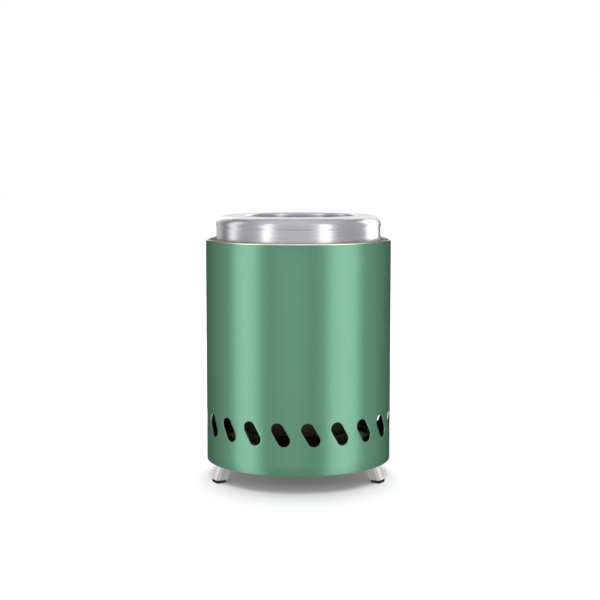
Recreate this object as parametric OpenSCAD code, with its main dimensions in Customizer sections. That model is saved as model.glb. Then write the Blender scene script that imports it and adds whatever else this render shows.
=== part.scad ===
// Tabletop smokeless stove: a double-wall burner with a loose flame ring, a fuel basket
// and an ash pan, standing on a tripod.
// Millimetres. +Z is up, -Y is the front, and the origin is on the ground under the stove's axis.

/* [Shell] */
// Outside diameter of the coated shell
shell_d = 130; // [126:0.5:134]
// Height of the shell sheet, without the hem on its rim
shell_h = 154.85; // [150:0.05:165]
// Thickness of the shell sheet
shell_t = 0.8; // [0.7:0.1:0.9]
// Thickness of the deck's hem, which folds over the shell's rim
hem_t = 0.4; // [0.3:0.05:0.5]
// Depth of the deck below the rim
deck_drop = 10; // [8:0.5:12]

/* [Vents] */
// Number of air vents around the foot of the shell
vent_count = 20; // [12:1:22]
// Length of a vent, end to end
vent_l = 17.2; // [12:0.1:18]
// Width of a vent
vent_w = 8.8; // [6:0.1:9]
// Lean of a vent from upright
vent_tilt = 30; // [0:1:35]
// Height of the vents' centres above the shell's bottom edge
vent_height = 27.9; // [26:0.1:34]
// Turn of the first vent from the front
vent_turn = 7.4; // [0:0.1:17]

/* [Flame ring] */
// Outside diameter of the ring's upright wall
ring_d = 115.2; // [113:0.1:117]
// Height of the ring above the rim
ring_rise = 16.5; // [14:0.1:20]
// Radius of the ring's shoulder
shoulder_r = 6.3; // [5:0.1:7]
// Diameter of the mouth
mouth_d = 82.8; // [81.5:0.1:84]
// Thickness of the ring's sheet
ring_t = 0.8; // [0.6:0.1:0.9]

/* [Burn chamber] */
// Inside diameter of the chamber
chamber_d = 98.8; // [97:0.1:100]
// Thickness of the chamber's sheet
chamber_t = 0.5; // [0.4:0.1:0.6]
// Number of afterburn holes near the top of the chamber
afterburn_count = 36; // [24:2:40]
// Diameter of an afterburn hole
afterburn_d = 4; // [3:0.1:4.5]
// Number of air holes near the bottom of the chamber
low_air_count = 16; // [12:2:20]
// Diameter of a low air hole
low_air_d = 6; // [5:0.1:7]

/* [Fuel basket and ash pan] */
// Largest diameter of the basket and of the pan, which both pass through the mouth
insert_d = 78; // [76:0.1:78.2]
// Height of the ash pan
pan_h = 13.4; // [13:0.1:14]
// Height of the basket's wall
basket_h = 53.2; // [48:0.1:56]
// Diameter of a hole in the basket
basket_hole_d = 3.6; // [3:0.1:4]
// Number of holes in a row around the basket
basket_hole_count = 20; // [16:2:22]
// Number of rows of holes in the basket
basket_rows = 5; // [3:1:5]

/* [Stand] */
// Gap between the ground and the shell's bottom edge
stand_gap = 11.5; // [10.5:0.1:12.5]
// Distance from the stove's axis to a leg's outer face, at the ground
leg_reach = 67.6; // [66.5:0.1:68]
// Lean of a leg from upright
leg_splay = 22; // [20:1:24]
// Width of a leg
leg_w = 8; // [7:0.1:9]
// Depth of a leg, from its outer face inwards
leg_d = 7; // [6:0.1:7.5]
// Thickness of the foot pad under a leg
pad_h = 2; // [1.5:0.1:2.5]

/* [Hidden] */
$fn = 96;

STEEL = "#c9c9c7";
DARK_STEEL = "#8f8d8a";
GREEN = "#64a07f";
RUBBER = "#1c1c1e";

over = 1;            // how far a cutter passes through what it cuts
punch_reach = 2;     // how far a punch reaches to each side of a wall
weld_gap = 0.05;     // gap between sheets that are spot-welded together
LEG_TURNS = [-60, 60, 180];   // left, right and rear, turned from the front

// Heights, from the ground up
shell_z = stand_gap;
shell_top = shell_z + shell_h;
shell_r = shell_d / 2;
shell_bore_r = shell_r - shell_t;
hem_r = (shell_t + 2 * weld_gap) / 2 + hem_t;   // outer radius of the hem's fold
rim_z = shell_top + hem_r;
deck_t = 0.6;
deck_z = rim_z - deck_drop;
vent_z = shell_z + vent_height;

// Stand
seat_z = shell_z + 7.7;         // top of the stand ring, where the stove rests
seat_t = 1.2;
seat_r = shell_bore_r - 1.7;
seat_bore_r = 46;
seat_lip_h = 5;
leg_t = 1;
tab_z = seat_z - seat_t - leg_t;
leg_corner = 1.4;
leg_inner_corner = 0.3;
tab_bore_r = seat_bore_r + seat_t + 0.3;
tab_w = leg_w - 1;
rivet_r = 1.5;
rivet_head_r = 2.4;
rivet_head_h = 0.9;
RIVET_PLACES = [50.6, 56.6];    // distances from the axis
pad_corner = 1;
plug_h = 7;
plug_play = 0.1;

// Base plate and heat shield
base_t = 0.8;
base_flange_h = 6;
base_dish_r = 45;
base_dish_h = 1.2;
shield_r = 50;
shield_z = 26;
shield_t = 0.6;
shield_foot_r = 3;
shield_foot_place = 38;

// Burn chamber
chamber_r = chamber_d / 2;
insert_r = insert_d / 2;
well_r = insert_r + 0.6;        // the ash pan's well
well_z = 32;
floor_t = 0.6;
pan_z = well_z + floor_t;
ledge_z = pan_z + pan_h + 0.4;
afterburn_z = deck_z - 13;
low_air_z = ledge_z + 13;

// Flame ring
ring_r = ring_d / 2;
ring_top = rim_z + ring_rise;
crease_drop = 1.9;              // the crease's depth below the shoulder's centre
shoulder_z = ring_top - shoulder_r;
shoulder_place = ring_r - sqrt(pow(shoulder_r, 2) - pow(crease_drop, 2));
mouth_r = mouth_d / 2;
lip_r = 1.6;
lip_drop = 4.5;
collar_t = 0.6;
collar_r = chamber_r - 0.5;
collar_drop = 8;

// Ash pan and its ring
pan_t = 0.6;
pan_r = insert_r - 1;
pan_bend = 2.4;
pan_floor = pan_z + pan_t;
wire_r = 0.9;                   // wire of the pan's ring
wire_play = 0.09;
pan_pin_z = pan_floor + wire_r + 0.3;
pan_loop_r = 10;
clip_w = 6;
clip_t = 0.8;
clip_len = 7;

// Fuel basket and its bail
grate_t = 0.8;
grate_z = pan_z + pan_h;
basket_t = 0.6;
basket_z = grate_z + grate_t;
basket_top = basket_z + basket_h;
rim_wire_r = 1.2;
rim_sink = 0.2;                 // how deep the wall's edge sits in the rim wire
basket_r = insert_r - 0.9;
first_row = 7.2;                // height of the lowest row of holes above the grate
row_pitch = 7;
bail_wire_r = 1.1;
bail_play = 0.09;
bail_pin_z = basket_top + 2 * rim_wire_r - rim_sink + bail_wire_r + 0.5;
bail_r = 32.5;
bail_leg = 5;
ear_t = 1.2;
ear_w = 7;
ear_out = basket_r - basket_t - 0.2;   // outer face of an ear's lower half
ear_jog = 1.1;                  // step of the ear inwards, past the rim wire
ear_foot = basket_top - 14;
ear_jog_z = basket_top - 4;
EAR_RIVETS = [basket_top - 11.5, basket_top - 6.5];
ear_rivet_r = 1;
ear_head_r = 1.8;
ear_head_h = 0.6;

// ---- Shapes that repeat ----

// A tube about the Z axis, from z = 0 up
module tube(r_out, r_in, h) {
  difference() {
    cylinder(r = r_out, h = h);
    translate([0, 0, -over])
      cylinder(r = r_in, h = h + 2 * over);
  }
}

// The half section of a round pan: a rectangle with its outer bottom corner rounded
module pan_half(r, h, bend) {
  square([r - bend, h]);
  translate([0, bend])
    square([r, h - bend]);
  translate([r - bend, bend])
    circle(bend);
}

// A pressed round pan of sheet thickness t, open at the top
module pressed_pan(r, h, t, bend) {
  rotate_extrude()
    difference() {
      pan_half(r, h, bend);
      translate([0, t])
        pan_half(r - t, h, bend - t);
    }
}

// One quarter of a flat ring: the band of a sheet that turns a corner
module bend_band(r_out, t, right, up) {
  intersection() {
    difference() {
      circle(r_out);
      circle(r_out - t);
    }
    translate([right ? 0 : -2 * r_out, up ? 0 : -2 * r_out])
      square(2 * r_out);
  }
}

// A row of n punched holes through a wall of radius r, at height z
module punched_row(n, d, r, z, turn = 0) {
  for (i = [0 : n - 1])
    rotate([0, 0, turn + i * 360 / n])
      translate([r - punch_reach, 0, z])
        rotate([0, 90, 0])
          cylinder(d = d, h = 2 * punch_reach, $fn = 8);
}

// Turns what is built pointing along +X to a place around the stove, measured from the front
module at_turn(turn) {
  rotate([0, 0, turn - 90])
    children();
}

// ---- Stand ----

module stand_ring() {
  color(STEEL)
    difference() {
      union() {
        translate([0, 0, seat_z - seat_t])
          tube(seat_r, seat_bore_r, seat_t);
        translate([0, 0, seat_z - seat_t - seat_lip_h])
          tube(seat_bore_r + seat_t, seat_bore_r, seat_lip_h + seat_t);
      }
      for (turn = LEG_TURNS, place = RIVET_PLACES)
        at_turn(turn)
          translate([place, 0, 0])
            countersunk_hole();
    }
}

// The space that a countersunk rivet takes in the stand ring
module countersunk_hole() {
  translate([0, 0, tab_z - over])
    cylinder(r = rivet_r, h = seat_z - tab_z + 2 * over);
  translate([0, 0, seat_z - rivet_head_h])
    cylinder(r1 = rivet_r, r2 = rivet_head_r, h = rivet_head_h);
}

// Outline of a leg's channel, with its outer face on x = 0 and its open side towards -x.
// An inset outline is the channel's hollow, which runs out past the open side.
module channel_outline(inset, corner) {
  translate([-leg_d - inset, -leg_w / 2 + inset])
    square([leg_d - corner, leg_w - 2 * inset]);
  translate([-leg_d - inset, -leg_w / 2 + inset + corner])
    square([leg_d, leg_w - 2 * (inset + corner)]);
  for (side = [-1, 1])
    translate([-inset - corner, side * (leg_w / 2 - inset - corner)])
      circle(corner, $fn = 32);
}

// Leans an upright extrusion inwards along a leg
module leaning() {
  length = 4 * stand_gap;
  translate([leg_reach, 0, 0])
    rotate([0, -leg_splay, 0])
      translate([0, 0, -length / 2])
        linear_extrude(length)
          children();
}

// Everything near a leg from height z up
module leg_slab(z, h) {
  translate([tab_bore_r, -leg_w, z])
    cube([leg_reach, 2 * leg_w, h]);
}

// One pressed leg, pointing along +X: a leaning channel with its top bent in as a tab
module leg() {
  difference() {
    union() {
      intersection() {
        leaning()
          channel_outline(0, leg_corner);
        leg_slab(pad_h, tab_z + leg_t - pad_h);
      }
      translate([tab_bore_r, -tab_w / 2, tab_z])
        cube([RIVET_PLACES[1] - tab_bore_r, tab_w, leg_t]);
    }
    intersection() {
      leaning()
        channel_outline(leg_t, leg_inner_corner);
      leg_slab(pad_h - over, tab_z - pad_h + over);
    }
    for (place = RIVET_PLACES)
      translate([place, 0, tab_z - over])
        cylinder(r = rivet_r, h = leg_t + 2 * over);
  }
}

module leg_left() {
  color(STEEL)
    at_turn(LEG_TURNS[0])
      leg();
}

module leg_right() {
  color(STEEL)
    at_turn(LEG_TURNS[1])
      leg();
}

module leg_rear() {
  color(STEEL)
    at_turn(LEG_TURNS[2])
      leg();
}

// A rectangle from x0 to x1 and from 0 up, with its two lower corners rounded
module pad_outline(x0, x1, h, corner) {
  translate([x0, corner])
    square([x1 - x0, h - corner]);
  translate([x0 + corner, 0])
    square([x1 - x0 - 2 * corner, h]);
  for (x = [x0 + corner, x1 - corner])
    translate([x, corner])
      circle(corner, $fn = 32);
}

// One silicone foot, pointing along +X: a pad under the leg and a plug up inside its channel
module foot() {
  pad_out = leg_reach - 0.4;
  pad_in = leg_reach - leg_d / cos(leg_splay) - 0.8;
  intersection() {
    translate([0, leg_w, 0])
      rotate([90, 0, 0])
        linear_extrude(2 * leg_w)
          pad_outline(pad_in, pad_out, pad_h, pad_corner);
    rotate([90, 0, 90])
      linear_extrude(2 * leg_reach)
        pad_outline(-leg_w / 2, leg_w / 2, pad_h, pad_corner);
    translate([pad_out, 0, 0])
      linear_extrude(pad_h)
        channel_outline(0, leg_corner);
  }
  intersection() {
    leaning()
      translate([-leg_d + plug_play, -leg_w / 2 + leg_t + plug_play])
        square([leg_d - leg_t - 2 * plug_play, leg_w - 2 * (leg_t + plug_play)]);
    leg_slab(pad_h - pad_corner / 2, plug_h);
  }
}

module foot_left() {
  color(RUBBER)
    at_turn(LEG_TURNS[0])
      foot();
}

module foot_right() {
  color(RUBBER)
    at_turn(LEG_TURNS[1])
      foot();
}

module foot_rear() {
  color(RUBBER)
    at_turn(LEG_TURNS[2])
      foot();
}

// The six rivets that hold the legs' tabs up against the ring, flush on top
module leg_rivets() {
  color(DARK_STEEL)
    for (turn = LEG_TURNS, place = RIVET_PLACES)
      at_turn(turn)
        translate([place, 0, 0]) {
          translate([0, 0, tab_z])
            cylinder(r = rivet_r, h = seat_z - tab_z);
          translate([0, 0, seat_z - rivet_head_h])
            cylinder(r1 = rivet_r, r2 = rivet_head_r, h = rivet_head_h);
          translate([0, 0, tab_z - rivet_head_h])
            cylinder(r1 = rivet_head_r - 0.8, r2 = rivet_head_r - 0.2, h = rivet_head_h);
        }
}

// ---- Stove body ----

// A vent's outline, leaning to the left as seen from outside
module vent_outline() {
  reach = (vent_l - vent_w) / 2;
  rotate(vent_tilt) {
    square([vent_w, 2 * reach], center = true);
    for (end = [-1, 1])
      translate([0, end * reach])
        circle(d = vent_w, $fn = 48);
  }
}

module outer_shell() {
  color(GREEN)
    difference() {
      translate([0, 0, shell_z])
        rotate_extrude()
          translate([shell_bore_r, 0]) {
            translate([0, shell_t])
              square([shell_t, shell_h - shell_t]);
            intersection() {
              square(shell_t);
              translate([0, shell_t])
                circle(shell_t, $fn = 48);
            }
          }
      for (i = [0 : vent_count - 1])
        rotate([0, 0, vent_turn + i * 360 / vent_count])
          translate([0, -shell_r + 4, vent_z])
            rotate([90, 0, 0])
              linear_extrude(8)
                vent_outline();
    }
}

// The pan inside the rim: a flat floor, an upright wall and a hem folded over the shell's edge
module top_deck() {
  fold_r = shell_r - shell_t / 2;
  hem_lip = 0.15;
  color(STEEL)
    rotate_extrude() {
      translate([chamber_r, deck_z - deck_t])
        square([fold_r - hem_r - chamber_r + hem_t, deck_t]);
      translate([fold_r - hem_r, deck_z - deck_t])
        square([hem_t, shell_top - deck_z + deck_t]);
      translate([fold_r, shell_top]) {
        bend_band(hem_r, hem_t, false, true);
        bend_band(hem_r, hem_t, true, true);
      }
      translate([fold_r + hem_r - hem_t, shell_top - hem_lip])
        square([hem_t, hem_lip]);
    }
}

// The bottom pan: a flat seat for the stand ring, a raised middle, and a flange welded to the shell
module base_plate() {
  plate_r = shell_bore_r - weld_gap;
  color(DARK_STEEL)
    translate([0, 0, seat_z])
      rotate_extrude() {
        translate([base_dish_r - base_t, 0])
          square([plate_r - base_dish_r + base_t, base_t]);
        translate([base_dish_r - base_t, 0])
          square([base_t, base_dish_h + base_t]);
        translate([0, base_dish_h])
          square([base_dish_r, base_t]);
        translate([plate_r - base_t, 0])
          square([base_t, base_flange_h]);
      }
}

// A plate on three pressed feet, between the base and the ash well
module heat_shield() {
  foot_z = seat_z + base_dish_h + base_t;
  color(DARK_STEEL) {
    translate([0, 0, shield_z])
      pressed_pan(shield_r, 3, shield_t, 1.5);
    for (turn = LEG_TURNS)
      at_turn(turn)
        translate([shield_foot_place, 0, foot_z])
          cylinder(r = shield_foot_r, h = shield_z - foot_z + shield_t / 2);
  }
}

module inner_wall() {
  color(DARK_STEEL)
    difference() {
      translate([0, 0, ledge_z])
        tube(chamber_r + chamber_t, chamber_r, deck_z - deck_t - ledge_z);
      punched_row(afterburn_count, afterburn_d, chamber_r, afterburn_z);
      punched_row(low_air_count, low_air_d, chamber_r, low_air_z);
    }
}

// The chamber's floor: a ledge round a well for the ash pan
module chamber_floor() {
  flange_h = 6;
  flange_r = chamber_r - weld_gap;
  color(DARK_STEEL)
    rotate_extrude() {
      translate([0, well_z])
        square([well_r + floor_t, floor_t]);
      translate([well_r, well_z])
        square([floor_t, ledge_z + floor_t - well_z]);
      translate([well_r, ledge_z])
        square([flange_r - well_r, floor_t]);
      translate([flange_r - floor_t, ledge_z])
        square([floor_t, flange_h]);
    }
}

// ---- Flame ring ----

module flame_ring() {
  crease_z = shoulder_z - crease_drop;
  color(STEEL)
    rotate_extrude() {
      translate([ring_r - ring_t, deck_z])
        square([ring_t, crease_z - deck_z]);
      translate([shoulder_place, shoulder_z]) {
        bend_band(shoulder_r, ring_t, true, true);
        intersection() {
          bend_band(shoulder_r, ring_t, true, false);
          translate([0, -crease_drop])
            square([shoulder_r, crease_drop]);
        }
      }
      translate([mouth_r + lip_r, ring_top - ring_t])
        square([shoulder_place - mouth_r - lip_r, ring_t]);
      translate([mouth_r + lip_r, ring_top - lip_r])
        bend_band(lip_r, ring_t, false, true);
      translate([mouth_r, ring_top - lip_drop])
        square([ring_t, lip_drop - lip_r]);
    }
}

// The band welded under the flame ring: a flange that rests on the deck, and a skirt that
// drops into the chamber's mouth
module ring_collar() {
  color(DARK_STEEL) {
    translate([0, 0, deck_z])
      tube(ring_r - ring_t - weld_gap, collar_r - collar_t, collar_t);
    translate([0, 0, deck_z - collar_drop])
      tube(collar_r, collar_r - collar_t, collar_drop + collar_t);
  }
}

// ---- Ash pan ----

module ash_pan() {
  color(DARK_STEEL) {
    translate([0, 0, pan_z])
      pressed_pan(pan_r, pan_h, pan_t, pan_bend);
    translate([0, 0, pan_z + pan_h - pan_t])
      tube(insert_r, pan_r - pan_t, pan_t);
  }
}

// The strap over the ring's straight bar, welded to the pan on both sides
module pan_clip() {
  bore_r = wire_r + wire_play;
  color(STEEL)
    difference() {
      union() {
        translate([-clip_w / 2, 0, pan_pin_z])
          rotate([0, 90, 0])
            cylinder(r = bore_r + clip_t, h = clip_w);
        translate([-clip_w / 2, -bore_r - clip_t, pan_floor])
          cube([clip_w, 2 * (bore_r + clip_t), pan_pin_z - pan_floor]);
        translate([-clip_w / 2, -clip_len / 2, pan_floor])
          cube([clip_w, clip_len, clip_t]);
      }
      translate([-clip_w, 0, pan_pin_z])
        rotate([0, 90, 0])
          cylinder(r = bore_r, h = 2 * clip_w);
      translate([-clip_w, -bore_r, pan_floor - over])
        cube([2 * clip_w, 2 * bore_r, pan_pin_z - pan_floor + over]);
      translate([-clip_w, -clip_len, pan_floor - 2 * clip_t])
        cube([2 * clip_w, 2 * clip_len, 2 * clip_t]);
    }
}

// The folding D-ring, which lies flat towards the rear
module pan_ring() {
  color(STEEL)
    translate([0, 0, pan_pin_z]) {
      intersection() {
        rotate_extrude()
          translate([pan_loop_r, 0])
            circle(wire_r, $fn = 32);
        translate([-2 * pan_loop_r, 0, -over - wire_r])
          cube([4 * pan_loop_r, 2 * pan_loop_r, 2 * (over + wire_r)]);
      }
      translate([-pan_loop_r, 0, 0])
        rotate([0, 90, 0])
          cylinder(r = wire_r, h = 2 * pan_loop_r, $fn = 32);
      for (side = [-1, 1])
        translate([side * pan_loop_r, 0, 0])
          sphere(wire_r, $fn = 32);
    }
}

// ---- Fuel basket ----

module basket_wall() {
  color(DARK_STEEL)
    difference() {
      translate([0, 0, basket_z])
        tube(basket_r, basket_r - basket_t, basket_h);
      for (row = [0 : basket_rows - 1])
        punched_row(basket_hole_count, basket_hole_d, basket_r, basket_z + first_row + row * row_pitch,
                    (row % 2) * 180 / basket_hole_count);
      for (z = EAR_RIVETS)
        punched_row(2, 2 * ear_rivet_r + 0.4, basket_r, z);
    }
}

module basket_grate() {
  rings = 4;
  pitch = 8;
  color(DARK_STEEL)
    translate([0, 0, grate_z])
      difference() {
        cylinder(r = basket_r, h = grate_t);
        translate([0, 0, -over])
          cylinder(d = basket_hole_d, h = grate_t + 2 * over, $fn = 24);
        for (ring = [1 : rings], i = [0 : 6 * ring - 1])
          rotate([0, 0, i * 60 / ring])
            translate([ring * pitch, 0, -over])
              cylinder(d = basket_hole_d, h = grate_t + 2 * over, $fn = 24);
      }
}

module basket_rim() {
  centre_r = insert_r - rim_wire_r;
  color(STEEL)
    difference() {
      translate([0, 0, basket_top - rim_sink + rim_wire_r])
        rotate_extrude()
          translate([centre_r, 0])
            circle(rim_wire_r, $fn = 32);
      translate([0, 0, basket_z])
        tube(basket_r, basket_r - basket_t, basket_h);
    }
}

// One ear on the +X side: a strip with a step in it, a round top and a hole for the bail
module ear() {
  ear_in = ear_out - ear_t;
  difference() {
    intersection() {
      translate([0, ear_w / 2, 0])
        rotate([90, 0, 0])
          linear_extrude(ear_w)
            polygon([[ear_in, ear_foot], [ear_out, ear_foot], [ear_out, ear_jog_z],
                     [ear_out - ear_jog, ear_jog_z + 2], [ear_out - ear_jog, bail_pin_z + ear_w],
                     [ear_in - ear_jog, bail_pin_z + ear_w], [ear_in - ear_jog, ear_jog_z + 2],
                     [ear_in, ear_jog_z]]);
      union() {
        translate([0, -ear_w / 2, ear_foot])
          cube([insert_r, ear_w, bail_pin_z - ear_foot]);
        translate([0, 0, bail_pin_z])
          rotate([0, 90, 0])
            cylinder(d = ear_w, h = insert_r);
      }
    }
    translate([0, 0, bail_pin_z])
      rotate([0, 90, 0])
        cylinder(r = bail_wire_r + bail_play, h = insert_d);
    for (z = EAR_RIVETS)
      translate([0, 0, z])
        rotate([0, 90, 0])
          cylinder(r = ear_rivet_r, h = insert_d);
  }
}

module ear_right() {
  color(STEEL)
    ear();
}

module ear_left() {
  color(STEEL)
    rotate([0, 0, 180])
      ear();
}

// The four rivets that hold the ears to the basket's wall
module ear_rivets() {
  head_in = ear_out - ear_t - ear_head_h;
  color(DARK_STEEL)
    for (turn = [0, 180], z = EAR_RIVETS)
      rotate([0, 0, turn])
        translate([0, 0, z])
          rotate([0, 90, 0]) {
            translate([0, 0, head_in])
              cylinder(r1 = ear_head_r - 0.4, r2 = ear_head_r, h = ear_head_h);
            translate([0, 0, head_in])
              cylinder(r = ear_rivet_r, h = basket_r + ear_head_h - head_in);
            translate([0, 0, basket_r])
              cylinder(r1 = ear_head_r, r2 = ear_head_r - 0.4, h = ear_head_h);
          }
}

// The wire bail, which lies towards the rear on the basket's rim
module basket_bail() {
  stub_end = insert_r - 1;
  color(STEEL)
    translate([0, 0, bail_pin_z]) {
      translate([0, bail_leg, 0])
        intersection() {
          rotate_extrude()
            translate([bail_r, 0])
              circle(bail_wire_r, $fn = 32);
          translate([-2 * bail_r, 0, -over - bail_wire_r])
            cube([4 * bail_r, 2 * bail_r, 2 * (over + bail_wire_r)]);
        }
      for (side = [-1, 1]) {
        translate([side * bail_r, 0, 0])
          rotate([-90, 0, 0])
            cylinder(r = bail_wire_r, h = bail_leg, $fn = 32);
        translate([side * bail_r, 0, 0])
          sphere(bail_wire_r, $fn = 32);
        translate([side * bail_r, 0, 0])
          rotate([0, side * 90, 0])
            cylinder(r = bail_wire_r, h = stub_end - bail_r, $fn = 32);
      }
    }
}

stand_ring();
leg_left();
leg_right();
leg_rear();
foot_left();
foot_right();
foot_rear();
leg_rivets();
outer_shell();
top_deck();
base_plate();
heat_shield();
inner_wall();
chamber_floor();
flame_ring();
ring_collar();
ash_pan();
pan_clip();
pan_ring();
basket_wall();
basket_grate();
basket_rim();
ear_left();
ear_right();
ear_rivets();
basket_bail();
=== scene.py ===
# %% [markdown]
# # A tabletop stove on a tripod
#
# This stove is a green coated tube with slanted air vents, a loose stainless ring in its open top,
# and three short legs with silicone feet. Inside it are a burn chamber, a fuel basket and an ash pan.
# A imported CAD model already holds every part's place and size, and how the parts move. The cells
# below keep that frame. They build the sheet-metal pieces again with rolled edges and rounded bends,
# and give every surface the finish that its maker would give it.

import math

import bmesh
import bpy
from mathutils import Matrix, Vector


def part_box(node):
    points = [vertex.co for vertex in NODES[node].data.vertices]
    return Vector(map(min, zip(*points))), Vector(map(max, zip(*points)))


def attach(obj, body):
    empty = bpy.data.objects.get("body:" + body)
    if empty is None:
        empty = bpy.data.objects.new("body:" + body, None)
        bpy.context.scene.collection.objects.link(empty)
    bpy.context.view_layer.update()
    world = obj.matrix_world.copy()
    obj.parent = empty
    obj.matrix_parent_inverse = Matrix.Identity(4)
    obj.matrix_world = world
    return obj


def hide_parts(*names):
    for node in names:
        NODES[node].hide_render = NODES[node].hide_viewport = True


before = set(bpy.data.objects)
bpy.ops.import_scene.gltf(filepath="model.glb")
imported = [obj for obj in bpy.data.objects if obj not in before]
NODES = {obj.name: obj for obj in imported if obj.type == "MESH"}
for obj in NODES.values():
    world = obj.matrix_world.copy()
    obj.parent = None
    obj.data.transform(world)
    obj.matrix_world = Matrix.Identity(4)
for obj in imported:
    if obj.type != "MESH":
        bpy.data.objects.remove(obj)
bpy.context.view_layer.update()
MM = 0.001

# %% [markdown]
# ## The view
#
# A product picture of a small object is taken from some way off with a long lens, so that its
# upright sides stay nearly parallel. The camera stands about a metre away, a little above the rim,
# and looks down by a few degrees. It is made first, because every later cell is judged through it.

# %% Camera
CAMERA_DISTANCE = 0.9535
CAMERA_HEIGHT = 0.2237
CAMERA_OFFSET = 0.0011
CAMERA_PITCH = 6.0
LENS = 81.4  # millimetres, with the sensor 36 mm wide

camera_data = bpy.data.cameras.new("camera")
camera_data.sensor_width = 36.0
camera_data.lens = LENS
camera_data.clip_start = 0.01
camera = bpy.data.objects.new("camera", camera_data)
camera.location = (CAMERA_OFFSET, -CAMERA_DISTANCE, CAMERA_HEIGHT)
camera.rotation_euler = (math.radians(90 - CAMERA_PITCH), 0, 0)
bpy.context.scene.collection.objects.link(camera)
bpy.context.scene.camera = camera
bpy.context.scene.view_settings.view_transform = "Standard"
print("camera", [round(x, 3) for x in camera.location])

# %% [markdown]
# ## The studio
#
# A plain pale floor catches a soft shadow. Polished and coated cylinders show whatever stands around
# them as upright stripes, so the lights are tall soft boxes: each one becomes one pale stripe on the
# shell and on the ring. A dim surround keeps the far edges of the cylinders dark.

# %% Floor, lights and surround
FLOOR_SIZE = 12.0
STOVE_MIDDLE = 0.09  # half the stove's height, which the soft boxes face
SUN_SPREAD = 90  # degrees: as soft as a whole ceiling of light
FRONT_GREY = 0.42
REAR_GREY = 0.02
REAR_STARTS = 0.2
REAR_IS_FULL = 0.75


def srgb(hex_colour):
    """An sRGB hex colour as the linear colour that shaders use."""
    channels = [int(hex_colour[i : i + 2], 16) / 255 for i in (1, 3, 5)]
    linear = [c / 12.92 if c <= 0.04045 else ((c + 0.055) / 1.055) ** 2.4 for c in channels]
    return (*linear, 1.0)


def add(tree, kind, inputs=None, **settings):
    """Adds one shader node with its settings. An input is a value, or a socket to link.

    A Mix node's socket 0 is its factor. It mixes sockets 6 and 7 for colours, and 2 and 3 for numbers.
    """
    node = tree.nodes.new(kind)
    for name, value in settings.items():
        setattr(node, name, value)
    for name, value in (inputs or {}).items():
        if isinstance(value, bpy.types.NodeSocket):
            tree.links.new(value, node.inputs[name])
        else:
            node.inputs[name].default_value = value
    return node


def new_material(name, **values):
    """A new material with its Principled shader's sockets set. Returns it, its tree and the shader."""
    material = bpy.data.materials.new(name)
    material.use_nodes = True
    shader = material.node_tree.nodes["Principled BSDF"]
    for socket, value in values.items():
        shader.inputs[socket.replace("_", " ")].default_value = value
    return material, material.node_tree, shader


def soft_box(name, turn, width, brightness, distance=0.9, height=STOVE_MIDDLE, tall=1.4):
    """A soft light that faces the stove. turn is measured from the front, towards the right."""
    light = bpy.data.lights.new(name, "AREA")
    light.shape = "RECTANGLE"
    light.size = width
    light.size_y = tall
    light.energy = brightness * math.pi * width * tall
    lamp = bpy.data.objects.new(name, light)
    angle = math.radians(turn)
    lamp.location = (distance * math.sin(angle), -distance * math.cos(angle), height)
    aim = Vector((0, 0, STOVE_MIDDLE)) - lamp.location
    lamp.rotation_euler = aim.to_track_quat("-Z", "Y").to_euler()
    lamp.visible_camera = False
    bpy.context.scene.collection.objects.link(lamp)
    return lamp


def wide_sun(name, power, lean, shadow):
    """A wide overhead light, lean degrees towards the back, or towards the front if that is negative."""
    light = bpy.data.lights.new(name, "SUN")
    light.energy = power
    light.angle = math.radians(SUN_SPREAD)
    light.use_shadow = shadow
    lamp = bpy.data.objects.new(name, light)
    lamp.rotation_euler = (math.radians(-lean), 0, 0)
    bpy.context.scene.collection.objects.link(lamp)
    return lamp


bm = bmesh.new()
bmesh.ops.create_grid(bm, x_segments=2, y_segments=2, size=FLOOR_SIZE / 2)
floor_mesh = bpy.data.meshes.new("floor")
bm.to_mesh(floor_mesh)
bm.free()
floor = bpy.data.objects.new("floor", floor_mesh)
bpy.context.scene.collection.objects.link(floor)
floor.visible_glossy = False
floor.visible_shadow = False

paper, paper_tree, paper_shader = new_material("matt_white_paper", Roughness=0.9)
paper_place = add(paper_tree, "ShaderNodeTexCoord")
paper_mottle = add(
    paper_tree,
    "ShaderNodeTexNoise",
    {"Vector": paper_place.outputs["Object"], "Scale": 3.0, "Detail": 2.0},
)
paper_tone = add(
    paper_tree,
    "ShaderNodeMix",
    {0: paper_mottle.outputs["Fac"], 6: srgb("#f4f4f4"), 7: srgb("#fafafa")},
    data_type="RGBA",
)
# Painted shade: the floor is white only to the camera. To every other ray it is dark grey, so it sends
# little light back up onto the stove.
paper_ray = add(paper_tree, "ShaderNodeLightPath")
paper_dark_to_bounce = add(
    paper_tree,
    "ShaderNodeMix",
    {0: paper_ray.outputs["Is Camera Ray"], 6: srgb("#5a5a5a"), 7: paper_tone.outputs[2]},
    data_type="RGBA",
)
paper_tree.links.new(paper_dark_to_bounce.outputs[2], paper_shader.inputs["Base Color"])
floor_mesh.materials.append(paper)

body_lamps = [
    soft_box("left_box", -65, 0.56, 1.85),
    soft_box("right_box", 56, 0.68, 1.85),
    soft_box("front_fill", -8, 1.2, 0.46, distance=1.8),
    soft_box("rear_fill", 180, 1.0, 0.5, distance=1.8),
]
ring_lamps = [
    soft_box("ring_rear_left", -145, 0.50, 0.6),
    soft_box("ring_far_left", -100, 0.26, 0.9),
    soft_box("ring_left", -43, 0.20, 1.45),
    soft_box("ring_right", 37, 0.24, 1.55),
    soft_box("ring_far_right", 125, 0.60, 1.6),
    soft_box("ring_fill", 0, 3.0, 0.17, distance=1.8),
    soft_box("ring_back", 180, 1.6, 1.0, distance=1.2, height=0.9, tall=1.5),
    wide_sun("ring_top", 0.35, lean=-25, shadow=False),
]
rim_lamps = [
    soft_box("rim_back", 180, 1.4, 1.5, distance=1.2, height=0.3, tall=0.6),
    wide_sun("rim_top", 1.25, lean=-25, shadow=False),
]
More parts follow.
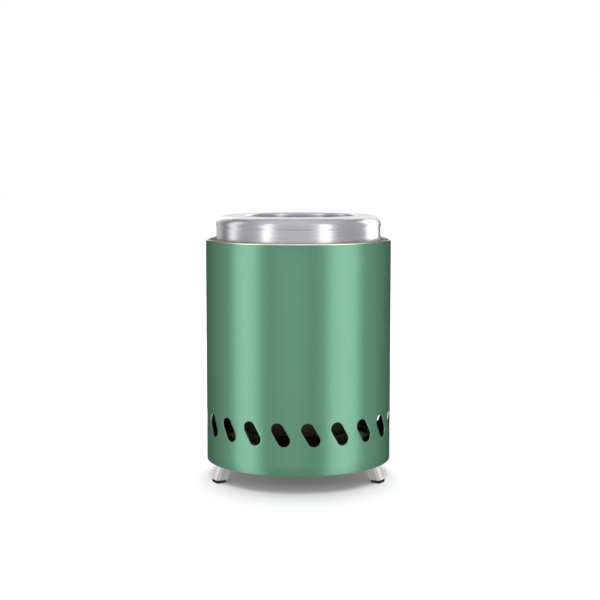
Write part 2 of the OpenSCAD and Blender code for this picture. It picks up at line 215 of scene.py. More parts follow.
leg_lamps = [
    soft_box("legs_left", -120, 0.6, 0.9),
    soft_box("legs_right", 120, 0.6, 0.9),
    soft_box("legs_front", 0, 3.4, 0.42, distance=1.4),
]
floor_lamps = [
    wide_sun("overhead", 3.6, lean=38, shadow=True),
    wide_sun("floor_fill", 0.95, lean=0, shadow=False),
]

world = bpy.data.worlds.new("surround")
world.use_nodes = True
bpy.context.scene.world = world
sky = world.node_tree
sky_ray = add(sky, "ShaderNodeLightPath")
sky_way = add(sky, "ShaderNodeTexCoord")
sky_parts = add(sky, "ShaderNodeSeparateXYZ", {"Vector": sky_way.outputs["Generated"]})
behind = add(
    sky,
    "ShaderNodeMapRange",
    {
        "Value": sky_parts.outputs["Y"],
        "From Min": REAR_STARTS,
        "From Max": REAR_IS_FULL,
        "To Min": FRONT_GREY,
        "To Max": REAR_GREY,
    },
)
sky_tone = add(
    sky,
    "ShaderNodeMix",
    {0: sky_ray.outputs["Is Camera Ray"], 2: behind.outputs["Result"], 3: 1.0},
    data_type="FLOAT",
)
sky.links.new(sky_tone.outputs[0], sky.nodes["Background"].inputs["Color"])

# %% [markdown]
# ## Sizes from the frame
#
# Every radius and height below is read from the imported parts, in millimetres. A round part's radius
# is half its box, and the heights are the box's ends. Only a sheet's thickness and the radius of a
# bend are written here, because a box doesn't show them.

# %% Read the sizes


def low(node, axis=2):
    """The low end of a part's box, in millimetres."""
    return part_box(node)[0][axis] / MM


def high(node, axis=2):
    """The high end of a part's box, in millimetres."""
    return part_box(node)[1][axis] / MM


def radius(node):
    """A round part's outer radius, in millimetres."""
    return (high(node, 0) - low(node, 0)) / 2


SHELL_R = round(radius("outer_shell"), 2)
SHELL_LOW = low("outer_shell")
SHELL_HIGH = high("outer_shell")
SHELL_T = 0.8
DECK_Z = low("flame_ring")
RING_TOP = high("flame_ring")
CHAMBER_T = 0.5
CHAMBER_R = radius("inner_wall") - CHAMBER_T
SEAT_Z = low("base_plate")
WELL_Z = low("chamber_floor")
LEDGE_Z = low("inner_wall")
print("shell radius", SHELL_R, "rim", round(high("top_deck"), 2), "ring top", round(RING_TOP, 2))

# %% [markdown]
# ## Pearl green stoving enamel
#
# The shell is sprayed with a heat-resistant enamel that holds fine mica flakes, then baked. The
# flakes lie flat in the film and act like dull mirrors, so the green swings from deep to pale as the
# tube turns away from a light. A part-metallic shader gives that swing, and a thin clear coat gives
# the sharper gloss on top. Sprayed film is never quite level: it has a faint orange peel, about a
# millimetre and a half across, and patches where it flowed a little smoother.

# %% The shell's coating
PEEL_WIDTH = 1.5
FLAKE_WIDTH = 0.5  # the real flakes are ten times finer, too fine to show
FLOW_WIDTH = 35

enamel, tree, shader = new_material(
    "pearl_green_stoving_enamel",
    Metallic=0.55,
    Coat_Weight=0.15,
    Coat_Roughness=0.14,
)
place = add(tree, "ShaderNodeTexCoord").outputs["Object"]
flakes = add(tree, "ShaderNodeTexNoise", {"Vector": place, "Scale": 1 / (FLAKE_WIDTH * MM), "Detail": 3.0})
cloud = add(tree, "ShaderNodeTexNoise", {"Vector": place, "Scale": 1 / (FLOW_WIDTH * MM), "Detail": 2.0})
peel = add(tree, "ShaderNodeTexNoise", {"Vector": place, "Scale": 1 / (PEEL_WIDTH * MM), "Detail": 1.0})
green = add(
    tree,
    "ShaderNodeMix",
    {0: flakes.outputs["Fac"], 6: srgb("#5c9678"), 7: srgb("#73ab8d")},
    data_type="RGBA",
)
gloss = add(tree, "ShaderNodeMapRange", {"Value": cloud.outputs["Fac"], "To Min": 0.31, "To Max": 0.37})
level = add(
    tree,
    "ShaderNodeBump",
    {"Height": peel.outputs["Fac"], "Distance": 0.006 * MM, "Strength": 1.0},
)
tree.links.new(green.outputs[2], shader.inputs["Base Color"])
tree.links.new(gloss.outputs["Result"], shader.inputs["Roughness"])
tree.links.new(level.outputs["Normal"], shader.inputs["Normal"])
print(enamel.name, "nodes:", len(tree.nodes))

# %% [markdown]
# ## Brushed stainless steel
#
# The flame ring is spun from stainless sheet and brushed while it turns, so every scratch runs
# round it. The pattern is noise that hardly changes along a circle and changes quickly across it.
# Its three coordinates are x and y on a coarse scale, and height less distance from the axis on a
# fine one, which stays across the scratches on the wall, on the shoulder and on the flat top alike.

# %% The flame ring's finish
BRUSH_WIDTH = 0.5  # real brush lines are a fifth of this, too fine to show
BRUSH_LENGTH = 30
SMUDGE_WIDTH = 25

brushed, tree, shader = new_material("circular_brushed_stainless", Metallic=1.0)
place = add(tree, "ShaderNodeTexCoord").outputs["Object"]
parts = add(tree, "ShaderNodeSeparateXYZ", {"Vector": place})
flat = add(tree, "ShaderNodeCombineXYZ", {"X": parts.outputs["X"], "Y": parts.outputs["Y"]})
away = add(tree, "ShaderNodeVectorMath", {0: flat.outputs["Vector"]}, operation="LENGTH")
across = add(tree, "ShaderNodeMath", {0: parts.outputs["Z"], 1: away.outputs["Value"]}, operation="SUBTRACT")
turned = add(
    tree,
    "ShaderNodeCombineXYZ",
    {"X": parts.outputs["X"], "Y": parts.outputs["Y"], "Z": across.outputs["Value"]},
)
along = 1 / (BRUSH_LENGTH * MM)
stretched = add(
    tree,
    "ShaderNodeVectorMath",
    {0: turned.outputs["Vector"], 1: (along, along, 1 / (BRUSH_WIDTH * MM))},
    operation="MULTIPLY",
)
lines = add(tree, "ShaderNodeTexNoise", {"Vector": stretched.outputs["Vector"], "Scale": 1.0, "Detail": 3.0})
smudge = add(tree, "ShaderNodeTexNoise", {"Vector": place, "Scale": 1 / (SMUDGE_WIDTH * MM), "Detail": 2.0})
steel_tone = add(
    tree,
    "ShaderNodeMix",
    {0: lines.outputs["Fac"], 6: srgb("#d5d3d8"), 7: srgb("#ebe9ee")},
    data_type="RGBA",
)
wear = add(tree, "ShaderNodeMath", {0: lines.outputs["Fac"], 1: smudge.outputs["Fac"]}, operation="ADD")
gloss = add(
    tree,
    "ShaderNodeMapRange",
    {"Value": wear.outputs["Value"], "From Max": 2.0, "To Min": 0.20, "To Max": 0.34},
)
scratches = add(
    tree,
    "ShaderNodeBump",
    {"Height": lines.outputs["Fac"], "Distance": 0.004 * MM, "Strength": 1.0},
)
tree.links.new(steel_tone.outputs[2], shader.inputs["Base Color"])
tree.links.new(gloss.outputs["Result"], shader.inputs["Roughness"])
tree.links.new(scratches.outputs["Normal"], shader.inputs["Normal"])
print(brushed.name, "nodes:", len(tree.nodes))

# %% [markdown]
# ## Plainer finishes
#
# The other metals share one build: a colour that drifts between two tones, a gloss that drifts with
# it, and a grain. What differs is how each was made. Pressed sheet has a fine even grain, drawn wire
# a bright skin with faint die marks, a cut edge the torn face that a punch leaves, and the inner
# sheets the straw and brown bloom of steel that was welded and fired. One function builds them all
# from those facts: two tones, the drift's width, the grain's width and depth, and the gloss.

# %% Sheet, wire, rivets, feet


def plain_finish(name, tones, drift, grain, depth, gloss, **values):
    """A finish of two tones, with a slow drift and a fine grain. Widths are in millimetres."""
    material, tree, shader = new_material(name, **values)
    place = add(tree, "ShaderNodeTexCoord").outputs["Object"]
    slow = add(tree, "ShaderNodeTexNoise", {"Vector": place, "Scale": 1 / (drift * MM), "Detail": 4.0})
    fine = add(tree, "ShaderNodeTexNoise", {"Vector": place, "Scale": 1 / (grain * MM), "Detail": 2.0})
    contrast = add(
        tree,
        "ShaderNodeMapRange",
        {"Value": slow.outputs["Fac"], "From Min": 0.3, "From Max": 0.7},
    )
    tone = add(
        tree,
        "ShaderNodeMix",
        {0: contrast.outputs["Result"], 6: srgb(tones[0]), 7: srgb(tones[1])},
        data_type="RGBA",
    )
    both = add(tree, "ShaderNodeMath", {0: slow.outputs["Fac"], 1: fine.outputs["Fac"]}, operation="ADD")
    sheen = add(
        tree,
        "ShaderNodeMapRange",
        {"Value": both.outputs["Value"], "From Max": 2.0, "To Min": gloss[0], "To Max": gloss[1]},
    )
    relief = add(
        tree,
        "ShaderNodeBump",
        {"Height": fine.outputs["Fac"], "Distance": depth * MM, "Strength": 1.0},
    )
    tree.links.new(tone.outputs[2], shader.inputs["Base Color"])
    tree.links.new(sheen.outputs["Result"], shader.inputs["Roughness"])
    tree.links.new(relief.outputs["Normal"], shader.inputs["Normal"])
    return material


# Satin sheet, pressed and tumbled: bright, with an even grain that blurs what it mirrors
satin = plain_finish(
    "satin_pressed_stainless", ("#d0d0ce", "#e2e2e0"), 12, 0.4, 0.004, (0.24, 0.40), Metallic=1.0
)
# Sheet that was welded and fired: darker, straw to brown, and duller
tinted = plain_finish(
    "heat_tinted_stainless", ("#5d5650", "#8a8178"), 18, 0.5, 0.008, (0.34, 0.56), Metallic=1.0
)
# The torn face that a punch leaves, bare and bright
cut_edge = plain_finish(
    "bare_punched_steel", ("#b9bab8", "#dcdcda"), 2, 0.3, 0.01, (0.25, 0.45), Metallic=1.0
)
# The inside of the rolled tube: its thin primer, darkened to near-black as painted shade behind the vents
primer_and_painted_shade = plain_finish(
    "heatproof_primer_painted_near_black", ("#141615", "#1f2220"), 15, 0.6, 0.01, (0.55, 0.75), Metallic=0.1
)
# Drawn wire: the die leaves a bright, slightly wavy skin
wire = plain_finish(
    "bright_drawn_wire", ("#bdbcb9", "#dddddb"), 6, 0.35, 0.005, (0.18, 0.34), Metallic=1.0
)
# Rivets, upset cold: small, bright and lightly dimpled
rivet = plain_finish(
    "cold_headed_rivet_steel", ("#a9a9a7", "#cfcfcd"), 3, 0.3, 0.008, (0.25, 0.42), Metallic=1.0
)
# Moulded silicone: matt black with a faint bloom, from a spark-eroded mould
silicone = plain_finish(
    "matt_black_silicone", ("#101011", "#19191b"), 4, 0.35, 0.02, (0.55, 0.72), IOR=1.41
)
print("finishes:", [m.name for m in (satin, tinted, cut_edge, primer_and_painted_shade, wire, rivet, silicone)])

# %% [markdown]
# ## Drawing a sheet's section
#
# Most of the stove is sheet steel, spun or rolled into rounds. Such a piece is the path of a pencil:
# straight runs joined by arcs, drawn in the XZ plane, then turned once about the axis. A vertex is
# the pencil. Extruding it draws a straight run, and spinning it about a bend's centre draws an arc.
# The surface then gets the sheet's thickness, which always lies to the left of the pencil's way, and
# its raw edges a small radius, since no real cut edge is razor sharp and a rounded one catches light.

# %% Pencil, turn, thicken and round
TURN_STEPS = 192
SAME_PLACE = 0.002  # millimetres: vertices nearer than this are one


def start_at(bm, r, z):
    """Puts the pencil down at radius r and height z."""
    return bm.verts.new((r * MM, 0, z * MM))


def line_to(bm, pencil, r, z):
    """Draws a straight run."""
    pencil = bmesh.ops.extrude_vert_indiv(bm, verts=[pencil])["verts"][0]
    pencil.co = (r * MM, 0, z * MM)
    return pencil


def bend_about(bm, pencil, r, z, degrees, steps=8):
    """Draws an arc about the bend's centre. Positive turns clockwise, seen with +X to the right."""
    drawn = bmesh.ops.spin(
        bm,
        geom=[pencil],
        cent=(r * MM, 0, z * MM),
        axis=(0, 1, 0),
        angle=math.radians(degrees),
        steps=steps,
        use_merge=False,
        use_duplicate=False,
    )
    return [g for g in drawn["geom_last"] if isinstance(g, bmesh.types.BMVert)][0]


def merge_doubles(bm):
    """Merges vertices that a seam or a pole has left in one place."""
    bmesh.ops.remove_doubles(bm, verts=bm.verts[:], dist=SAME_PLACE * MM)


def turn_round(bm, steps=TURN_STEPS):
    """Turns the drawn path once about the stove's axis, and closes it."""
    bmesh.ops.spin(
        bm,
        geom=bm.verts[:] + bm.edges[:],
        cent=(0, 0, 0),
        axis=(0, 0, 1),
        angle=math.tau,
        steps=steps,
        use_merge=True,
        use_duplicate=False,
    )
    merge_doubles(bm)
    bmesh.ops.reverse_faces(bm, faces=bm.faces[:])


def thicken(bm, thickness):
    """Gives the surface a sheet's thickness, behind its faces."""
    bmesh.ops.solidify(bm, geom=bm.faces[:] + bm.edges[:] + bm.verts[:], thickness=thickness * MM)
    bmesh.ops.recalc_face_normals(bm, faces=bm.faces[:])


def round_edges(bm, width, segments=2, sharper_than=50):
    """Rounds every edge that is sharper than an angle."""
    limit = math.radians(sharper_than)
    sharp = [e for e in bm.edges if len(e.link_faces) == 2 and e.calc_face_angle() > limit]
    bmesh.ops.bevel(
        bm,
        geom=sharp,
        offset=width * MM,
        offset_type="OFFSET",
        segments=segments,
        profile=0.5,
        affect="EDGES",
        material=-1,
        clamp_overlap=True,
    )


def make_piece(name, bm, materials, body, slot, *replaced, crease=35):
    """Turns a bmesh into a named piece that rides on a body and stands for CAD nodes."""
    mesh = bpy.data.meshes.new(name)
    bm.to_mesh(mesh)
    bm.free()
    for material in materials:
        mesh.materials.append(material)
    mesh.shade_smooth()
    mesh.set_sharp_from_angle(angle=math.radians(crease))
    piece = bpy.data.objects.new(name, mesh)
    bpy.context.scene.collection.objects.link(piece)
    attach(piece, body)
    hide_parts(*replaced)
    print(name, "faces:", len(mesh.polygons), "size mm:", [round(x / MM, 1) for x in piece.dimensions])
    return piece


# %% [markdown]
# ## Punching holes in a flat strip
#
# The shell, the chamber's wall and the basket's wall start on the bench as flat strips. A press
# punches their holes, rolls turn the strip into a tube, and a weld closes it. The mesh is made in
# the same order. One tile is a rectangle with a hole bridged to it, so that all its faces are even
# quads. A row of tiles makes a band of holes, plain sheet is extruded between the bands, and the
# last step wraps the strip about the axis. Cutting holes in a finished tube with a boolean would be
# shorter, but it leaves long thin faces that show as scars in a glossy finish.

# %% Tiles, bands and rolling


def punched_tile(bm, width, tall, across, up, hole_w, hole_l, tilt=0, rings=4):
    """One flat tile with a round-ended hole, centred on the origin. Returns its vertices."""
    rim = bmesh.ops.create_grid(bm, x_segments=across, y_segments=up, size=0.5)["verts"]
    bmesh.ops.scale(bm, vec=(width, tall, 1), verts=rim)
    faces = list({f for v in rim for f in v.link_faces})
    bmesh.ops.delete(bm, geom=faces, context="FACES_KEEP_BOUNDARY")
    rim = [v for v in rim if v.is_valid]
    rim_edges = list({e for v in rim for e in v.link_edges})
    half_step = Matrix.Rotation(math.pi / len(rim), 4, "Z")
    hole = bmesh.ops.create_circle(bm, segments=len(rim), radius=hole_w / 2, matrix=half_step)["verts"]
    reach = (hole_l - hole_w) / 2
    for end in (-1, 1):
        bmesh.ops.translate(bm, vec=(0, end * reach, 0), verts=[v for v in hole if v.co.y * end > 0])
    bmesh.ops.rotate(bm, cent=(0, 0, 0), matrix=Matrix.Rotation(math.radians(tilt), 3, "Z"), verts=hole)
    hole_edges = list({e for v in hole for e in v.link_edges})
    joined = bmesh.ops.bridge_loops(bm, edges=rim_edges + hole_edges)
    bmesh.ops.subdivide_edges(bm, edges=joined["edges"], cuts=rings - 1, use_grid_fill=True)
    # Finished bands stand above the ground line, so only the new tile is near y = 0
    return [v for v in bm.verts if abs(v.co.y) < tall / 2 + SAME_PLACE]


def punched_band(bm, r, count, z, tall, across, up, hole_w, hole_l, tilt=0, first_turn=0, rings=4):
    """A band of tiles once round a tube of radius r, still flat: x is the way round, y the height.

    across and up are how many faces a tile has along each side, and rings how many round its hole.
    """
    pitch = math.tau * r / count
    tile = punched_tile(bm, pitch, tall, across, up, hole_w, hole_l, tilt, rings)
    bmesh.ops.translate(bm, vec=(math.radians(first_turn) * r, z, 0), verts=tile)
    faces = list({f for v in tile for f in v.link_faces})
    for i in range(1, count):
        copy = bmesh.ops.duplicate(bm, geom=tile + faces)["geom"]
        verts = [g for g in copy if isinstance(g, bmesh.types.BMVert)]
        bmesh.ops.translate(bm, vec=(i * pitch, 0, 0), verts=verts)
    bmesh.ops.remove_doubles(bm, verts=bm.verts[:], dist=SAME_PLACE)


def plain_sheet(bm, from_y, to_y, steps=1):
    """Draws plain sheet on from a band's edge, to another height."""
    for i in range(steps):
        here = from_y + (to_y - from_y) * i / steps
        reach = (to_y - from_y) / steps
        level = [e for e in bm.edges if all(abs(v.co.y - here) < SAME_PLACE for v in e.verts)]
        drawn = bmesh.ops.extrude_edge_only(bm, edges=level)["geom"]
        verts = [g for g in drawn if isinstance(g, bmesh.types.BMVert)]
        bmesh.ops.translate(bm, vec=(0, reach, 0), verts=verts)


def roll_up(bm, r):
    """Rolls the flat strip into a tube of radius r, with the strip's x = 0 at the front."""
    bmesh.ops.remove_doubles(bm, verts=bm.verts[:], dist=SAME_PLACE)
    for v in bm.verts:
        turn = v.co.x / r
        v.co = (r * math.sin(turn) * MM, -r * math.cos(turn) * MM, v.co.y * MM)
    merge_doubles(bm)
    bmesh.ops.recalc_face_normals(bm, faces=bm.faces[:])
    first = bm.faces[:][0]
    if first.normal.xy.dot(first.calc_center_median().xy) < 0:
        bmesh.ops.reverse_faces(bm, faces=bm.faces[:])


# %% [markdown]
# ## The coated shell
#
# The shell is the largest thing in sight: a tube with twenty air vents round its foot. Each vent is
# a slot with round ends, and leans to the left. The press breaks through the coating, so the vents'
# walls show bare bright steel. The inside of the tube is near-black: partly its thin primer, partly
# painted shade that keeps the vents dark.

# %% Punch and roll the shell
VENT_COUNT = 20
VENT_L = 17.2
VENT_W = 8.8
VENT_TILT = 30
VENT_TURN = 7.4
VENT_Z = SHELL_LOW + 27.9
VENT_BAND = 24

bm = bmesh.new()
punched_band(
    bm,
    SHELL_R,
    VENT_COUNT,
    VENT_Z,
    VENT_BAND,
    across=10,
    up=6,
    hole_w=VENT_W,
    hole_l=VENT_L,
    tilt=VENT_TILT,
    first_turn=VENT_TURN,
    rings=5,
)
plain_sheet(bm, VENT_Z + VENT_BAND / 2, SHELL_HIGH, steps=6)
plain_sheet(bm, VENT_Z - VENT_BAND / 2, SHELL_LOW, steps=2)
roll_up(bm, SHELL_R)
thicken(bm, SHELL_T)
print("shell faces:", len(bm.faces))

# %% Give the shell its three surfaces
COATED, BARE, INSIDE = 0, 1, 2
for face in bm.faces:
    middle = face.calc_center_median()
    outward = face.normal.xy.dot(middle.xy.normalized())
    # The inside faces get the near-black primer, painted shade seen through the vents
    if outward < -0.5:
        face.material_index = INSIDE
    elif outward < 0.5 and abs(middle.z / MM - VENT_Z) < VENT_BAND / 2:
        face.material_index = BARE
    else:
        face.material_index = COATED
round_edges(bm, 0.15)
make_piece("coated_shell", bm, [enamel, cut_edge, primer_and_painted_shade], "stove_body", "coated_shell", "outer_shell")

# %% [markdown]
# ## The deck and its hem
#
# A pressed pan closes the gap between the shell and the burn chamber. Its floor is sunk below the
# rim, its wall stands up inside the shell, and its edge is folded down over the shell's cut edge.
# That hem is the thin bright line along the rim.

# %% Spin the deck
HEM_T = 0.4
HEM_R = SHELL_T / 2 + 0.05 + HEM_T
HEM_LIP = 0.15
FOLD_R = SHELL_R - SHELL_T / 2
DECK_BEND = 1.0

bm = bmesh.new()
pencil = start_at(bm, FOLD_R + HEM_R, SHELL_HIGH - HEM_LIP)
pencil = line_to(bm, pencil, FOLD_R + HEM_R, SHELL_HIGH)
pencil = bend_about(bm, pencil, FOLD_R, SHELL_HIGH, -180, steps=14)
pencil = line_to(bm, pencil, FOLD_R - HEM_R, DECK_Z + DECK_BEND)
pencil = bend_about(bm, pencil, FOLD_R - HEM_R - DECK_BEND, DECK_Z + DECK_BEND, 90)
line_to(bm, pencil, CHAMBER_R, DECK_Z)
turn_round(bm)
thicken(bm, HEM_T)
round_edges(bm, 0.1)
deck = make_piece("hemmed_deck", bm, [satin], "stove_body", "satin_stainless", "top_deck")

# %% [markdown]
# ## The flame ring and its collar
#
# The ring turns the hot air in over the fire. Its wall stands on the deck, a soft crease marks where
# the spinning tool began the shoulder, and the mouth's edge is rolled down and in. A collar is welded
# under it, whose skirt drops into the chamber and keeps the ring in place.

# %% Spin the ring
RING_T = 0.8
RING_R = 57.6
SHOULDER_R = 6.3
CREASE_DROP = 1.9
MOUTH_R = 41.4
LIP_R = 1.6
LIP_DROP = 4.5

shoulder_z = RING_TOP - SHOULDER_R
shoulder_r = RING_R - math.sqrt(SHOULDER_R**2 - CREASE_DROP**2)
shoulder_turn = 90 + math.degrees(math.asin(CREASE_DROP / SHOULDER_R))

bm = bmesh.new()
pencil = start_at(bm, RING_R, DECK_Z)
pencil = line_to(bm, pencil, RING_R, shoulder_z - CREASE_DROP)
pencil = bend_about(bm, pencil, shoulder_r, shoulder_z, -shoulder_turn, steps=20)
pencil = line_to(bm, pencil, MOUTH_R + LIP_R, RING_TOP)
pencil = bend_about(bm, pencil, MOUTH_R + LIP_R, RING_TOP - LIP_R, -90, steps=10)
line_to(bm, pencil, MOUTH_R, RING_TOP - LIP_DROP)
turn_round(bm)
thicken(bm, RING_T)
round_edges(bm, 0.15)
ring = make_piece("spun_flame_ring", bm, [brushed], "ring", "brushed_stainless", "flame_ring", crease=14)

# %% Spin the collar under it
COLLAR_T = 0.6
COLLAR_BEND = 1.2
SKIRT_GAP = 0.5
collar_r = -low("ring_collar", 0)
skirt_r = CHAMBER_R - SKIRT_GAP - COLLAR_T

bm = bmesh.new()
pencil = start_at(bm, collar_r, high("ring_collar"))
pencil = line_to(bm, pencil, skirt_r + COLLAR_BEND, high("ring_collar"))
pencil = bend_about(bm, pencil, skirt_r + COLLAR_BEND, high("ring_collar") - COLLAR_BEND, -90)
line_to(bm, pencil, skirt_r, low("ring_collar"))
turn_round(bm)
thicken(bm, COLLAR_T)
round_edges(bm, 0.12)
make_piece("ring_skirt", bm, [tinted], "ring", "inner_stainless", "ring_collar")

# %% [markdown]
# ## The burn chamber
#
# The chamber's wall is rolled like the shell. Its upper row of small holes blows hot air over the
# fire, which burns the smoke, and a lower row feeds the fire from below. Its floor is a pressed pan:
# a deep well for the ash pan, a ledge round it, and a flange that is spot-welded inside the wall.

# %% Punch and roll the chamber's wall
CHAMBER_OUT_R = CHAMBER_R + CHAMBER_T
AFTERBURN_Z = DECK_Z - 13
LOW_AIR_Z = LEDGE_Z + 13
HOLE_BAND = 9
LOW_HOLES = 16
LOW_HOLE = 6
AFTERBURN_HOLES = 36
AFTERBURN_HOLE = 4
WALL_TOP = DECK_Z - HEM_T

bm = bmesh.new()
punched_band(
    bm,
    CHAMBER_OUT_R,
    LOW_HOLES,
    LOW_AIR_Z,
    HOLE_BAND,
    across=18,
    up=4,
    hole_w=LOW_HOLE,
    hole_l=LOW_HOLE,
    rings=2,
)
plain_sheet(bm, LOW_AIR_Z - HOLE_BAND / 2, LEDGE_Z)
plain_sheet(bm, LOW_AIR_Z + HOLE_BAND / 2, AFTERBURN_Z - HOLE_BAND / 2, steps=3)
punched_band(
    bm,
    CHAMBER_OUT_R,
    AFTERBURN_HOLES,
    AFTERBURN_Z,
    HOLE_BAND,
    across=8,
    up=4,
    hole_w=AFTERBURN_HOLE,
    hole_l=AFTERBURN_HOLE,
    rings=2,
)
plain_sheet(bm, AFTERBURN_Z + HOLE_BAND / 2, WALL_TOP)
roll_up(bm, CHAMBER_OUT_R)
thicken(bm, CHAMBER_T)
round_edges(bm, 0.08, segments=1)
chamber = make_piece("burn_chamber_wall", bm, [tinted], "stove_body", "inner_stainless", "inner_wall")

# %% Press the chamber's floor
FLOOR_T = 0.6
PAN_PLAY = 0.6
well_r = radius("ash_pan") + PAN_PLAY + FLOOR_T
flange_r = radius("chamber_floor")
WELL_BEND = 2.0
LEDGE_BEND = 0.8

bm = bmesh.new()
pencil = start_at(bm, 0, WELL_Z)
pencil = line_to(bm, pencil, well_r - WELL_BEND, WELL_Z)
pencil = bend_about(bm, pencil, well_r - WELL_BEND, WELL_Z + WELL_BEND, -90)
pencil = line_to(bm, pencil, well_r, LEDGE_Z - LEDGE_BEND)
pencil = bend_about(bm, pencil, well_r + LEDGE_BEND, LEDGE_Z - LEDGE_BEND, 90)
pencil = line_to(bm, pencil, flange_r - WELL_BEND, LEDGE_Z)
pencil = bend_about(bm, pencil, flange_r - WELL_BEND, LEDGE_Z + WELL_BEND, -90)
line_to(bm, pencil, flange_r, high("chamber_floor"))
turn_round(bm)
thicken(bm, FLOOR_T)
round_edges(bm, 0.12)
well = make_piece("chamber_well", bm, [tinted], "stove_body", "inner_stainless", "chamber_floor")

# %% [markdown]
# ## The base
#
# The bottom pan is what the stove rests on: a flat seat for the stand, a slightly raised middle, and
# a flange that is welded inside the shell.

# %% Press the base
BASE_T = 0.8
BASE_BEND = 2.0
DISH_FOOT_R = 44.6
DISH_TOP_R = 43.4
DISH_H = 1.2
base_r = radius("base_plate")

bm = bmesh.new()
pencil = start_at(bm, 0, SEAT_Z + DISH_H)
pencil = line_to(bm, pencil, DISH_TOP_R, SEAT_Z + DISH_H)
pencil = line_to(bm, pencil, DISH_FOOT_R, SEAT_Z)
pencil = line_to(bm, pencil, base_r - BASE_BEND, SEAT_Z)
pencil = bend_about(bm, pencil, base_r - BASE_BEND, SEAT_Z + BASE_BEND, -90)
line_to(bm, pencil, base_r, high("base_plate"))
turn_round(bm)
thicken(bm, BASE_T)
round_edges(bm, 0.12)
make_piece("pressed_base", bm, [tinted], "stove_body", "inner_stainless", "base_plate", crease=60)

# %% [markdown]
# ## The ash pan and the fuel basket
#
# The pan is a shallow pressing with a narrow rim, and the basket stands on it. The basket's wall is
# the third rolled strip: five rows of holes, each row shifted by half a hole, so that the sheet
# keeps its strength.

# %% Press the ash pan
PAN_T = 0.6
PAN_BEND = 2.4
PAN_RIM = 1
PAN_RIM_BEND = 0.6
pan_r = radius("ash_pan") - PAN_RIM

bm = bmesh.new()
pencil = start_at(bm, 0, low("ash_pan"))
pencil = line_to(bm, pencil, pan_r - PAN_BEND, low("ash_pan"))
pencil = bend_about(bm, pencil, pan_r - PAN_BEND, low("ash_pan") + PAN_BEND, -90)
pencil = line_to(bm, pencil, pan_r, high("ash_pan") - PAN_T - PAN_RIM_BEND)
pencil = bend_about(bm, pencil, pan_r + PAN_RIM_BEND, high("ash_pan") - PAN_T - PAN_RIM_BEND, 90)
line_to(bm, pencil, pan_r + PAN_RIM, high("ash_pan") - PAN_T)
turn_round(bm)
thicken(bm, PAN_T)
round_edges(bm, 0.12)
make_piece("pressed_ash_pan", bm, [tinted], "pan", "inner_stainless", "ash_pan")

# %% Punch and roll the basket's wall
BASKET_T = 0.6
BASKET_ROWS = 5
ROW_PITCH = 7
FIRST_ROW = 7.2
BASKET_HOLE = 3.6
BASKET_HOLES = 20
basket_r = radius("basket_wall")
basket_z = low("basket_wall")
row_turn = 180 / BASKET_HOLES

bm = bmesh.new()
for row in range(BASKET_ROWS):
    row_z = basket_z + FIRST_ROW + row * ROW_PITCH
    shift = (row % 2) * row_turn
    punched_band(
        bm,
        basket_r,
        BASKET_HOLES,
        row_z,
        ROW_PITCH,
        across=6,
        up=4,
        hole_w=BASKET_HOLE,
        hole_l=BASKET_HOLE,
        first_turn=shift,
        rings=2,
    )
plain_sheet(bm, basket_z + FIRST_ROW - ROW_PITCH / 2, basket_z)
plain_sheet(bm, basket_z + FIRST_ROW + (BASKET_ROWS - 0.5) * ROW_PITCH, high("basket_wall"), steps=2)
roll_up(bm, basket_r)
thicken(bm, BASKET_T)
round_edges(bm, 0.08, segments=1)
make_piece("punched_basket_wall", bm, [tinted], "basket", "perforated_stainless", "basket_wall")

# %% [markdown]
# ## Bent wire
#
# The basket's bail and the pan's ring are bent from round wire. Here the pencil is a whole circle: it
# is extruded along the straight runs, and spun about each bend's centre. Both wires are symmetrical,
# so one half is drawn and the other is its mirror image.

# %% Pencils for wire


def wire_start(bm, wire_r, x, z):
    """A circle of wire at x, on y = 0, that faces along X. Returns its edges."""
    facing = Matrix.Translation((x * MM, 0, z * MM)) @ Matrix.Rotation(math.radians(90), 4, "Y")
    drawn = bmesh.ops.create_circle(
        bm, segments=20, radius=wire_r * MM, cap_ends=True, matrix=facing
    )
    return list({e for v in drawn["verts"] for e in v.link_edges})


def wire_run(bm, loop, x, y):
    """Runs the wire straight on, by x and y."""
    drawn = bmesh.ops.extrude_edge_only(bm, edges=loop)["geom"]
    verts = [g for g in drawn if isinstance(g, bmesh.types.BMVert)]
    bmesh.ops.translate(bm, vec=(x * MM, y * MM, 0), verts=verts)
    return [g for g in drawn if isinstance(g, bmesh.types.BMEdge) and all(v in set(verts) for v in g.verts)]


def wire_bend(bm, loop, x, y, degrees, steps):
    """Bends the wire about an upright line through x and y. Positive turns anticlockwise from above."""
    drawn = bmesh.ops.spin(
        bm,
        geom=loop,
        cent=(x * MM, y * MM, 0),
        axis=(0, 0, 1),
        angle=math.radians(degrees),
        steps=steps,
        use_merge=False,
        use_duplicate=False,
    )
    return [g for g in drawn["geom_last"] if isinstance(g, bmesh.types.BMEdge)]


def mirror_wire(bm):
    """Adds the mirror image across X = 0, and joins the halves into one closed wire."""
    bmesh.ops.mirror(bm, geom=bm.verts[:] + bm.edges[:] + bm.faces[:], axis="X", merge_dist=0.001 * MM)
    merge_doubles(bm)
    bmesh.ops.recalc_face_normals(bm, faces=bm.faces[:])


# %% Bend the basket's bail
BAIL_WIRE_R = 1.1
BAIL_R = 32.5
BAIL_LEG = 5
BAIL_BEND = 1.6
bail_z = (low("basket_bail") + high("basket_bail")) / 2
bail_end = high("basket_bail", 0)

bm = bmesh.new()
loop = wire_start(bm, BAIL_WIRE_R, bail_end, bail_z)
loop = wire_run(bm, loop, BAIL_R + BAIL_BEND - bail_end, 0)
loop = wire_bend(bm, loop, BAIL_R + BAIL_BEND, BAIL_BEND, -90, 8)
loop = wire_run(bm, loop, 0, BAIL_LEG - BAIL_BEND)
wire_bend(bm, loop, 0, BAIL_LEG, 90, 28)
mirror_wire(bm)
round_edges(bm, 0.2)
make_piece("bent_bail", bm, [wire], "bail", "steel_wire", "basket_bail", crease=50)

# %% [markdown]
# The pan's ring is a D: a straight bar that turns in its clip, and an arc of a little more than half
# a circle. The bar starts at the middle, so its two halves meet there.

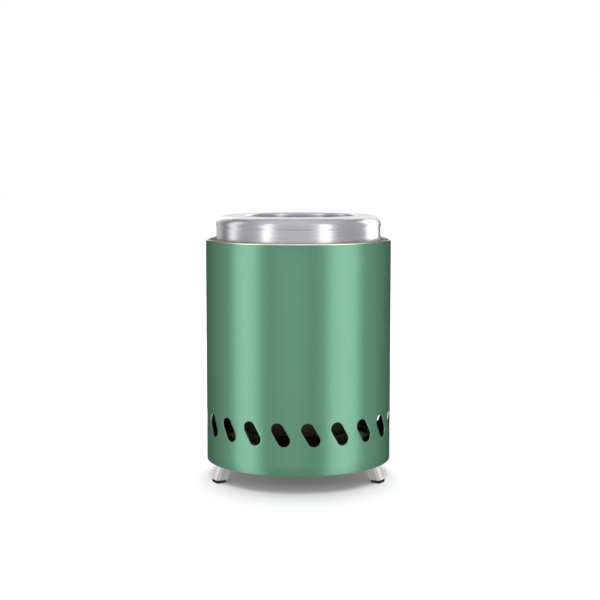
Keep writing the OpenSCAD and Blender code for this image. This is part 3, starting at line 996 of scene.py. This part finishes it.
# %% Bend the pan's ring
PAN_WIRE_R = 0.9
PAN_LOOP_R = 10
PAN_BEND_R = 1.5
pan_ring_z = high("pan_ring") - PAN_WIRE_R

bm = bmesh.new()
loop = wire_start(bm, PAN_WIRE_R, 0, pan_ring_z)
bmesh.ops.delete(bm, geom=bm.faces[:], context="FACES_ONLY")
loop = wire_run(bm, loop, PAN_LOOP_R - PAN_BEND_R, 0)
loop = wire_bend(bm, loop, PAN_LOOP_R - PAN_BEND_R, PAN_BEND_R, 90, 8)
wire_bend(bm, loop, 0, PAN_BEND_R, 90, 24)
mirror_wire(bm)
make_piece("bent_pan_ring", bm, [wire], "pan_loop", "steel_wire", "pan_ring", crease=50)

# %% [markdown]
# ## Finishing the parts that stay
#
# The stand, the rivets, the clip, the ears, the grate and the basket's rolled rim already have their
# true shape in the frame. They only get the finish that belongs to them.

# %% Finish the frame's own parts
FINISHES = {
    satin: ["stand_ring", "leg_left", "leg_right", "leg_rear", "pan_clip", "ear_left", "ear_right"],
    silicone: ["foot_left", "foot_right", "foot_rear"],
    tinted: ["heat_shield", "basket_grate"],
    rivet: ["leg_rivets", "ear_rivets"],
    wire: ["basket_rim"],
}
for material, names in FINISHES.items():
    for name in names:
        for place in NODES[name].material_slots:
            place.material = material
    print(material.name, "on", names)

# %% [markdown]
# ## Sharing out the lamps
#
# A photographer lights the coated shell and the mirror-like ring with separate boxes, and hides each
# from the other with flags. Light linking does the same: a lamp with a receiver collection lights
# only what is in it. The hem and the legs get their own lamps too, and the overhead light is kept
# for the floor, where it gives the soft shadow. No lamp lights the burn chamber, only the dim
# surround, so the space behind the vents stays dark.

# %% Link each lamp to what it lights


def shine_on(lamp, things):
    """Lets a lamp light only these things. Everything still casts its shadow."""
    receivers = bpy.data.collections.new(lamp.name + "_receivers")
    for thing in things:
        receivers.objects.link(thing)
    lamp.light_linking.receiver_collection = receivers


legs = [NODES[name] for name in ("stand_ring", "leg_left", "leg_right", "leg_rear")]
apart = (floor, ring, chamber, well, *legs)
shown = [o for o in bpy.data.objects if o.type == "MESH" and o not in apart]
SHARES = [
    (body_lamps, shown),
    (ring_lamps, [ring]),
    (rim_lamps, [deck]),
    (leg_lamps, legs),
    (floor_lamps, [floor]),
]
for lamps, things in SHARES:
    for lamp in lamps:
        shine_on(lamp, things)
    print([lamp.name for lamp in lamps], "light", len(things), "objects")
